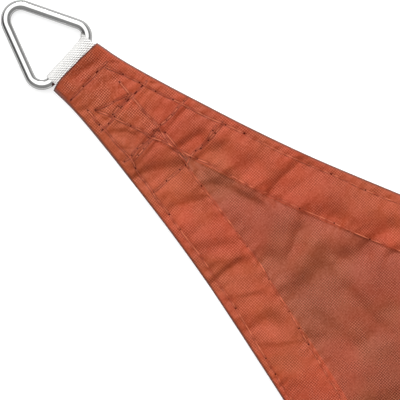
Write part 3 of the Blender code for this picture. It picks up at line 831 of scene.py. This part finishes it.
def make_ring(corner, material):
    """A polished wire ring: a round section swept along its arcs and straights."""
    steps, around, straight = 20, 32, 10
    centres, outs = [], []
    arcs = ring_corners()
    for index, (centre, radius, first, last) in enumerate(arcs):
        for angle in np.linspace(first, last, steps):
            out = np.array((math.cos(angle), math.sin(angle)))
            centres.append(np.array(centre) + radius * out)
            outs.append(out)
        after, reach, start = arcs[(index + 1) % len(arcs)][:3]
        begin = centres[-1]
        goal = np.array(after) + reach * np.array((math.cos(start), math.sin(start)))
        for part in np.linspace(0, 1, straight)[1:-1]:
            centres.append(begin * (1 - part) + goal * part)
            outs.append(out)
    points, faces = [], []
    for centre, out in zip(centres, outs):
        for angle in np.arange(around) * 2 * math.pi / around:
            spot = centre + WIRE / 2 * math.cos(angle) * out
            points.append((spot[0], spot[1], WIRE / 2 * math.sin(angle)))
    total = len(centres)
    for turn in range(total):
        after = (turn + 1) % total
        for index in range(around):
            beside = (index + 1) % around
            faces.append((turn * around + index, after * around + index,
                          after * around + beside, turn * around + beside))
    ring = piece(f"wire_ring_{corner + 1}", points, faces, material)
    ring.data.transform(ring_place(corner))
    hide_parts(f"ring_{corner + 1}")
    return ring


def wire_at(corner, side):
    """The base wire's place along the corner at a sideways place, and its slope there."""
    turn = math.radians(RING_TURNS[corner])
    across = side - RING_SHIFT
    past = max(0.0, abs(across) - ring_corners()[0][0][0])
    bend = math.asin(past / BASE_RADIUS)
    return across * math.tan(turn) - BASE_RADIUS * (1 - math.cos(bend)), bend


def tangent_angle(centre, across, radius, point, upper):
    """The angle on an ellipse where a straight line from a point touches it."""
    run = (point[0] - centre[0]) * radius / across
    rise = point[1] - centre[1]
    spread = math.acos(radius / math.hypot(run, rise))
    return math.atan2(rise, run) + (spread if upper else -spread)


def loop_points(corner, side, grow, hole, steps):
    """One section of a loop at a sideways place, as (along, height) points."""
    along, bend = wire_at(corner, side)
    centre = (along, EYE_HEIGHT)
    radius = SHOWN_EYE if hole else EYE_HEIGHT + grow
    across = radius + EYE * (1 / math.cos(bend) - 1)
    if hole:
        tail = [EYE_TAIL]
    else:
        tail = [(LOWER_KNEE, TAIL_BOTTOM - grow), (TAIL_END + grow, TAIL_BOTTOM - grow),
                (TAIL_END + grow, TAIL_TOP + grow), (TAIL_KNEE, TAIL_TOP + grow)]
    first = tangent_angle(centre, across, radius, tail[-1], True)
    last = 2 * math.pi + tangent_angle(centre, across, radius, tail[0], False)
    points = [(along + across * math.cos(angle), EYE_HEIGHT + radius * math.sin(angle))
              for angle in np.linspace(first, last, steps + 1)]
    return points + tail


def band(start, count):
    """Faces between one section's points and the next one's."""
    return [(start + index, start + (index + 1) % count,
             start + count + (index + 1) % count, start + count + index)
            for index in range(count)]


def section_points(sections):
    """The sections' points in the corner's frame."""
    return [(side, -along, height) for side, section in sections for along, height in section]


def make_webbing(corner, material):
    """The webbing: a loop around the base wire, and a tail of its two plies."""
    rows, steps = 41, 30
    sides = SHOWN_SHIFT + np.linspace(-SHOWN_HALF, SHOWN_HALF, rows)
    outer = [(side, loop_points(corner, side, SHOWN_GROW - sag(side), False, steps))
             for side in sides]
    inner = [(side, loop_points(corner, side, 0.0, True, steps)) for side in sides]
    rim, hole = len(outer[0][1]), len(inner[0][1])
    start = rim * rows
    faces = []
    for row in range(rows - 1):
        faces += band(row * rim, rim)
        faces += [face[::-1] for face in band(start + row * hole, hole)]
    for row, step in ((0, -1), (rows - 1, 1)):
        base, eye = row * rim, start + row * hole
        tail = eye + hole - 1
        cap = [(base + index, base + index + 1, eye + index + 1, eye + index)
               for index in range(hole - 2)]
        cap.append((base + hole - 2, base + hole - 1, tail, tail - 1))
        cap += [(base + index, base + index + 1, tail) for index in range(hole - 1, rim - 1)]
        cap.append((base + rim - 1, base, eye, tail))
        faces += [face[::step] for face in cap]
    points = section_points(outer) + section_points(inner)
    webbing = piece(f"webbing_loop_{corner + 1}", points, faces, material)
    carry(webbing, "past_wire", [-place[1] for place in points])
    webbing.data.transform(place_of(corner))
    webbing.data.set_sharp_from_angle(angle=SHARP)
    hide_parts(f"webbing_{corner + 1}")
    return webbing


def sag(side):
    """How far the webbing's face is below full height: rounded at its two selvedges."""
    width, fall = SELVEDGE
    inward = (SHOWN_HALF - abs(side - SHOWN_SHIFT)) / width
    return fall * max(0.0, 1 - inward) ** 2


def cut_pocket(cloth, corner):
    """The pocket between the cloth's layers that takes the webbing's tail, with a gap."""
    rows, steps = 9, 12
    half = SHOWN_HALF + GAP
    sides = SHOWN_SHIFT + np.linspace(-half, half, rows)
    sections = [(side, loop_points(corner, side, SHOWN_GROW + GAP, False, steps))
                for side in sides]
    rim = len(sections[0][1])
    faces = []
    for row in range(rows - 1):
        faces += band(row * rim, rim)
    faces += [tuple(reversed(range(rim))), tuple(range(rim * (rows - 1), rim * rows))]
    cutter = mesh_object("pocket", section_points(sections), faces)
    cutter.data.transform(place_of(corner))
    cut = cloth.modifiers.new("pocket", "BOOLEAN")
    cut.operation = "DIFFERENCE"
    cut.solver = "MANIFOLD"
    cut.object = cutter
    view = bpy.context.evaluated_depsgraph_get()
    done = bpy.data.meshes.new_from_object(cloth.evaluated_get(view))
    cloth.modifiers.clear()
    cloth.data = done
    bpy.data.objects.remove(cutter)


# ---- sewing ----
def reach_of(line):
    """How far along a line each of its points is."""
    return np.concatenate(([0], np.cumsum(np.linalg.norm(np.diff(line, axis=0), axis=1))))


def read_at(line, places, wanted):
    """A line's points at the wanted places, from the places of its own points."""
    return np.stack([np.interp(wanted, places, line[:, axis]) for axis in (0, 1)], axis=1)


def even_points(line, spacing):
    """A line's points at an even spacing."""
    reach = reach_of(line)
    return read_at(line, reach, np.arange(0, reach[-1], spacing))


def long_seam(corner, inset):
    """A seam along the middle of an edge, between the ones that run from its corners."""
    line = edge_line(corner, inset, step=LONG_SEAM_STEP)
    _, along, _ = own_corner(line)
    return line[along > LONG_SEAM_END + HEM_HOLE]


def through(corner, rows):
    """A smooth line through points of a corner, in order."""
    rows = np.array(rows, float) * MM
    reach = reach_of(rows)
    places = np.linspace(0, reach[-1], SEAM_FINER * len(rows))
    along, side = (curve(np.stack((reach, values), axis=1), places) for values in rows.T)
    return at_corner(corner, along, side)


def seam_lines():
    """All seams as (points, stitch length, needle hole length)."""
    found = [(through(corner, rows), HEM_PITCH, HEM_HOLE) for corner, rows in LONG_SEAMS]
    found += [(long_seam(corner, inset), HEM_PITCH, HEM_HOLE)
              for corner in range(CORNERS) for inset in HEM_INSETS]
    found += [(through(corner, rows), pitch * MM, hole * MM)
              for corner, pitch, hole, rows in CROSS_SEAMS]
    return found


SEAM_LINES = seam_lines()
SEAMS = [line for line, _, _ in SEAM_LINES]


def make_sewing(thread_material, hole_shade_material):
    """Every stitch as a short thread that dips at its ends, with a needle hole's painted shade
    between two.
    """
    chance = np.random.default_rng(SEWING_SEED)
    least, more = HOLE_LENGTHS
    runs, holes = [], []
    for line, pitch, hole in SEAM_LINES:
        fine = even_points(line, STITCH_STEP)
        per = round(pitch / STITCH_STEP)
        gap = round(hole / STITCH_STEP)
        start = 0
        while start + per // 2 < len(fine):
            length = per + int(chance.integers(-1, 2))
            slit = max(1, round(gap * (least + more * chance.random())))
            seen = hole != HEM_HOLE or chance.random() < HEM_HOLES_SEEN
            if seen:
                holes.append(fine[start:start + slit + 1])
            runs.append(fine[start + slit * seen:start + length + 1])
            start += length
    make_threads(runs, thread_material)
    make_holes([hole for hole in holes if len(hole) > 1], hole_shade_material)


def make_threads(runs, material):
    """The visible stitches: low tubes along their runs."""
    around, samples = 6, 5
    points, faces = [], []
    spots = np.concatenate([resampled(run, samples) for run in runs])
    _, high, _ = heights_at(spots)
    spots = spots.reshape(len(runs), samples, 2)
    high = high.reshape(len(runs), samples)
    bow = np.sin(np.linspace(0, math.pi, samples))
    rises = THREAD * (THREAD_LEVEL[0] + THREAD_LEVEL[1] * bow)
    sizes = THREAD * (THREAD_SIZE[0] + THREAD_SIZE[1] * bow)
    for run, ground in zip(spots, high):
        base = len(points)
        for spot, out, height, radius in zip(run, side_vectors(run), ground + rises, sizes):
            for angle in np.arange(around) * 2 * math.pi / around:
                place = spot + out * radius * math.cos(angle)
                points.append((place[0], place[1] + SAIL_Y, height + radius * math.sin(angle)))
        for row in range(samples - 1):
            faces += band(base + row * around, around)
        faces.append(tuple(base + index for index in reversed(range(around))))
        faces.append(tuple(base + (samples - 1) * around + index for index in range(around)))
    return piece("sewing_thread", points, faces, material)


def resampled(run, samples):
    """A run's points, read at an even count of places."""
    return read_at(run, np.arange(len(run)), np.linspace(0, len(run) - 1, samples))


def make_holes(runs, material):
    """The needle holes as painted shade: narrow dark slits just over the cloth."""
    around = 8
    angle = np.arange(around)[:, None] * 2 * math.pi / around
    rims = []
    for run in runs:
        way = (run[-1] - run[0]) / 2
        out = np.array((-way[1], way[0])) / np.linalg.norm(way) * HOLE_HALF
        rims.append(run.mean(axis=0) + np.cos(angle) * way + np.sin(angle) * out)
    spots = np.concatenate(rims)
    _, high, _ = heights_at(spots)
    points = np.column_stack((spots[:, 0], spots[:, 1] + SAIL_Y, high + HOLE_LIFT))
    faces = np.arange(len(points)).reshape(-1, around)
    return piece("needle_hole_shades", points.tolist(), faces.tolist(), material, shade=False)


# ---- materials ----
def new_material(name, roughness, specular=0.5, metallic=0.0):
    """A material with its node tree and its shader."""
    material = bpy.data.materials.new(name)
    material.use_nodes = True
    shader = material.node_tree.nodes["Principled BSDF"]
    for socket, value in (("Roughness", roughness), ("Specular IOR Level", specular),
                          ("Metallic", metallic)):
        shader.inputs[socket].default_value = value
    return material, material.node_tree, shader


def fed_node(tree, kind, operation, values):
    """The outputs of a node whose inputs are fed by sockets or fixed values."""
    node = tree.nodes.new(kind)
    node.operation = operation
    for socket, value in zip(node.inputs, values):
        if isinstance(value, bpy.types.NodeSocket):
            tree.links.new(value, socket)
        else:
            socket.default_value = value
    return node.outputs


def math_node(tree, operation, *values):
    """A number worked out from others."""
    return fed_node(tree, "ShaderNodeMath", operation, values)[0]


def vector_node(tree, operation, *values):
    """A vector or colour worked out from others, or the number that a dot product gives."""
    outputs = fed_node(tree, "ShaderNodeVectorMath", operation, values)
    return outputs["Value" if operation == "DOT_PRODUCT" else "Vector"]


def eased(tree, value, low, high, first, last):
    """A socket's values from low to high, eased over to those from first to last."""
    node = tree.nodes.new("ShaderNodeMapRange")
    node.interpolation_type = "SMOOTHSTEP"
    tree.links.new(value, node.inputs["Value"])
    for name, number in (("From Min", low), ("From Max", high), ("To Min", first),
                         ("To Max", last)):
        node.inputs[name].default_value = number
    return node.outputs[0]


def coordinates(tree, space="Object"):
    """A place in a space."""
    return tree.nodes.new("ShaderNodeTexCoord").outputs[space]


def noise_node(tree, scale, detail):
    """A noise value over object space."""
    noise = tree.nodes.new("ShaderNodeTexNoise")
    noise.inputs["Scale"].default_value = scale
    noise.inputs["Detail"].default_value = detail
    tree.links.new(coordinates(tree), noise.inputs["Vector"])
    return noise.outputs["Fac"]


def swing(tree, scale, detail):
    """A noise value around 0."""
    return math_node(tree, "SUBTRACT", noise_node(tree, scale, detail), 0.5)


def attribute(tree, name):
    """The value that a piece carries under a name."""
    node = tree.nodes.new("ShaderNodeAttribute")
    node.attribute_name = name
    return node.outputs["Fac"]


def object_axes(tree):
    """The object-space X, Y and Z sockets."""
    split = tree.nodes.new("ShaderNodeSeparateXYZ")
    tree.links.new(coordinates(tree), split.inputs[0])
    return split.outputs


def thread_rows(tree, axis, period):
    """A sine across one axis, between -1 and 1."""
    return math_node(tree, "SINE", math_node(tree, "MULTIPLY", axis, 2 * math.pi / period))


def mix_colours(tree, part, first, second):
    """A colour between two, each a socket or a colour."""
    node = tree.nodes.new("ShaderNodeMix")
    node.data_type = "RGBA"
    tree.links.new(part, node.inputs["Factor"])
    for socket, value in ((node.inputs[6], first), (node.inputs[7], second)):
        if isinstance(value, tuple):
            socket.default_value = (*value, 1)
        else:
            tree.links.new(value, socket)
    return node.outputs[2]


def dress(tree, shader, colour, relief=None, distance=0.0):
    """A shader's colour, and its relief from a height socket."""
    tree.links.new(colour, shader.inputs["Base Color"])
    if relief is None:
        return
    bump = tree.nodes.new("ShaderNodeBump")
    bump.inputs["Distance"].default_value = distance
    bump.inputs["Strength"].default_value = 1.0
    tree.links.new(relief, bump.inputs["Height"])
    tree.links.new(bump.outputs[0], shader.inputs["Normal"])


def cloth_material():
    """Coated oxford cloth: a grid of threads, browner where it is a single layer."""
    material, tree, shader = new_material("oxford_cloth", roughness=0.62, specular=0.24)
    axes = object_axes(tree)
    hems = attribute(tree, "hems")
    sway = math_node(tree, "MULTIPLY", swing(tree, scale=60, detail=2), SWAY)
    rows = thread_rows(tree, math_node(tree, "ADD", axes["X"], sway), WEAVE)
    columns = thread_rows(tree, math_node(tree, "SUBTRACT", axes["Y"], sway), WEAVE)
    shown = eased(tree, noise_node(tree, scale=110, detail=2), *WEAVE_BY_PATCH)
    weave = math_node(tree, "MULTIPLY", math_node(tree, "ADD", rows, columns), shown)
    relief = math_node(tree, "MULTIPLY_ADD", swing(tree, scale=900, detail=2), GRAIN, weave)
    relief = math_node(tree, "MULTIPLY", relief, eased(tree, hems, *RELIEF_BY_HEMS))
    hemmed = math_node(tree, "MINIMUM", hems, 1.0)
    colour = mix_colours(tree, hemmed, PANEL_COLOUR, HEM_COLOUR)
    level = math_node(tree, "MULTIPLY_ADD", swing(tree, scale=30, detail=4), MOTTLE, 1.0)
    colour = vector_node(tree, "MULTIPLY", colour, level)
    drift = eased(tree, noise_node(tree, scale=22, detail=3), *TONE_BY_NOISE)
    tone = mix_colours(tree, drift, OCHRE_TONE, RED_TONE)
    colour = vector_node(tree, "MULTIPLY", colour, tone)
    raised = math_node(tree, "MAXIMUM", relief, GLINT_FROM)
    colour = vector_node(tree, "MULTIPLY_ADD", raised, GLINT, colour)
    # painted shade where the weave's relief is low
    colour = vector_node(tree, "MULTIPLY", colour, eased(tree, relief, *SHADE_BY_RELIEF))
    # painted highlights on the threads
    thread_highlights = math_node(tree, "MULTIPLY", eased(tree, relief, *HIGHLIGHTS_BY_RELIEF),
                       eased(tree, hems, *HIGHLIGHTS_BY_HEMS))
    colour = mix_colours(tree, thread_highlights, colour, THREAD_HIGHLIGHT_COLOUR)
    # painted shade beside the seams and along the folded edges
    for name, share, dark in PAINTED_SHADE_LINES:
        part = math_node(tree, "MULTIPLY", attribute(tree, name), share)
        colour = mix_colours(tree, part, colour, dark)
    dress(tree, shader, colour, relief, CLOTH_RELIEF)
    return material


def thread_material():
    """Sewing thread, a little lighter than the cloth."""
    material, tree, shader = new_material("sewing_thread", roughness=0.7, specular=0.15)
    shine = eased(tree, noise_node(tree, scale=170, detail=3), *SHINE_BY_NOISE)
    dress(tree, shader, mix_colours(tree, shine, *THREAD_COLOURS))
    return material


def hole_shade_material():
    """The painted shade of a needle hole."""
    material, tree, shader = new_material("needle_hole_shade", roughness=0.95, specular=0.0)
    dress(tree, shader, mix_colours(tree, noise_node(tree, scale=1200, detail=1), *HOLE_SHADE_COLOURS))
    return material


def webbing_material():
    """White webbing, woven in a fine twill, with painted shade around the wire, painted light past
    it.
    """
    material, tree, shader = new_material("white_webbing", roughness=0.75, specular=0.3)
    slope = vector_node(tree, "DOT_PRODUCT", coordinates(tree), TWILL)
    rows = math_node(tree, "ADD", thread_rows(tree, slope, TWILL_PERIOD),
                     thread_rows(tree, object_axes(tree)["Y"], RIB_PERIOD))
    part = math_node(tree, "MULTIPLY_ADD", rows, *WEBBING_WEAVE)
    colour = mix_colours(tree, part, *WEBBING_COLOURS)
    past = attribute(tree, "past_wire")
    grain = noise_node(tree, scale=800, detail=1)
    level = math_node(tree, "MULTIPLY_ADD", grain, *WEBBING_LEVEL)
    # painted shade around the wire and painted light past it
    for span in LIGHT_AND_SHADE_PAST_WIRE:
        level = math_node(tree, "MULTIPLY", level, eased(tree, past, *span))
    dress(tree, shader, vector_node(tree, "MULTIPLY", colour, level), rows, WEBBING_RELIEF)
    return material


def steel_material():
    """Polished steel wire with faint drawing marks."""
    material, tree, shader = new_material("polished_steel", roughness=0.12, metallic=1.0)
    shader.inputs["Specular Tint"].default_value = STEEL_TINT
    marks = noise_node(tree, scale=260, detail=4)
    dress(tree, shader, mix_colours(tree, marks, *STEEL_COLOURS))
    rough = math_node(tree, "MULTIPLY_ADD", marks, *STEEL_ROUGHNESS)
    tree.links.new(rough, shader.inputs["Roughness"])
    return material


# ---- the stage ----
def view_axes():
    """The view's right and up on the ground."""
    cos, sin = math.cos(VIEW_ANGLE), math.sin(VIEW_ANGLE)
    return Vector((sin, -cos, 0)), Vector((cos, sin, 0))


def make_camera():
    """A long lens straight above the corner, as in the photograph."""
    right, up = view_axes()
    along, side = VIEW_CENTRE
    target = place_of(0) @ Vector((side, -along, 0))
    camera = put("camera", bpy.data.cameras.new("camera"))
    camera.data.lens = LENS
    camera.data.sensor_width = SENSOR
    camera.data.clip_start = NEAREST_SEEN
    turn = Matrix((right, up, right.cross(up))).transposed().to_4x4()
    distance = VIEW_WIDTH * LENS / SENSOR
    camera.matrix_world = Matrix.Translation(target + Vector((0, 0, distance))) @ turn
    bpy.context.scene.camera = camera


def direction(azimuth, height):
    """A direction, in degrees to the right of the view's up and over the ground."""
    right, up = view_axes()
    turn, rise = math.radians(azimuth), math.radians(height)
    flat = right * math.sin(turn) + up * math.cos(turn)
    return flat * math.cos(rise) + Vector((0, 0, math.sin(rise)))


def glow(tree, azimuth, height, *span):
    """A level that changes with the angle off a direction."""
    near = vector_node(tree, "DOT_PRODUCT", coordinates(tree, "Generated"),
                       direction(azimuth, height))
    return eased(tree, near, *span)


def make_light():
    """A soft sun and a broad studio light on one side, over darker surroundings."""
    sun = put("sun", bpy.data.lights.new("sun", "SUN"))
    sun.data.energy = SUN
    sun.data.angle = math.radians(SUN_SIZE)
    sun.rotation_mode = "QUATERNION"
    sun.rotation_quaternion = direction(LIGHT_AZIMUTH, SUN_HEIGHT).to_track_quat("Z", "Y")
    world = bpy.data.worlds.new("studio")
    bpy.context.scene.world = world
    world.use_nodes = True
    tree = world.node_tree
    lamp = 1.0
    for row in LAMP:
        lamp = math_node(tree, "MULTIPLY", lamp, glow(tree, *row))
    level = math_node(tree, "ADD", lamp, glow(tree, *WALLS))
    background = tree.nodes["Background"].inputs
    tree.links.new(level, background["Color"])
    background["Strength"].default_value = SKY


def make_floor():
    """A plain pale floor."""
    material, _, shader = new_material("floor", roughness=0.9, specular=0.0)
    shader.inputs["Base Color"].default_value = FLOOR_COLOUR
    shader.inputs["Emission Color"].default_value = (1, 1, 1, 1)
    shader.inputs["Emission Strength"].default_value = FLOOR_GLOW
    half = FLOOR_HALF
    spots = [(-half, -half, 0), (half, -half, 0), (half, half, 0), (-half, half, 0)]
    floor = mesh_object("floor", spots, [(0, 1, 2, 3)], material)
    floor.location.z = FLOOR_HEIGHT


def main():
    """The whole scene."""
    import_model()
    bpy.context.scene.view_settings.view_transform = "Standard"
    make_camera()
    make_light()
    make_floor()
    cloth = make_cloth(cloth_material())
    for corner in range(CORNERS):
        cut_pocket(cloth, corner)
    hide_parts("sail")
    steel, white = steel_material(), webbing_material()
    for corner in range(CORNERS):
        make_ring(corner, steel)
    loops = [make_webbing(corner, white) for corner in range(CORNERS)]
    make_sewing(thread_material(), hole_shade_material())


main()
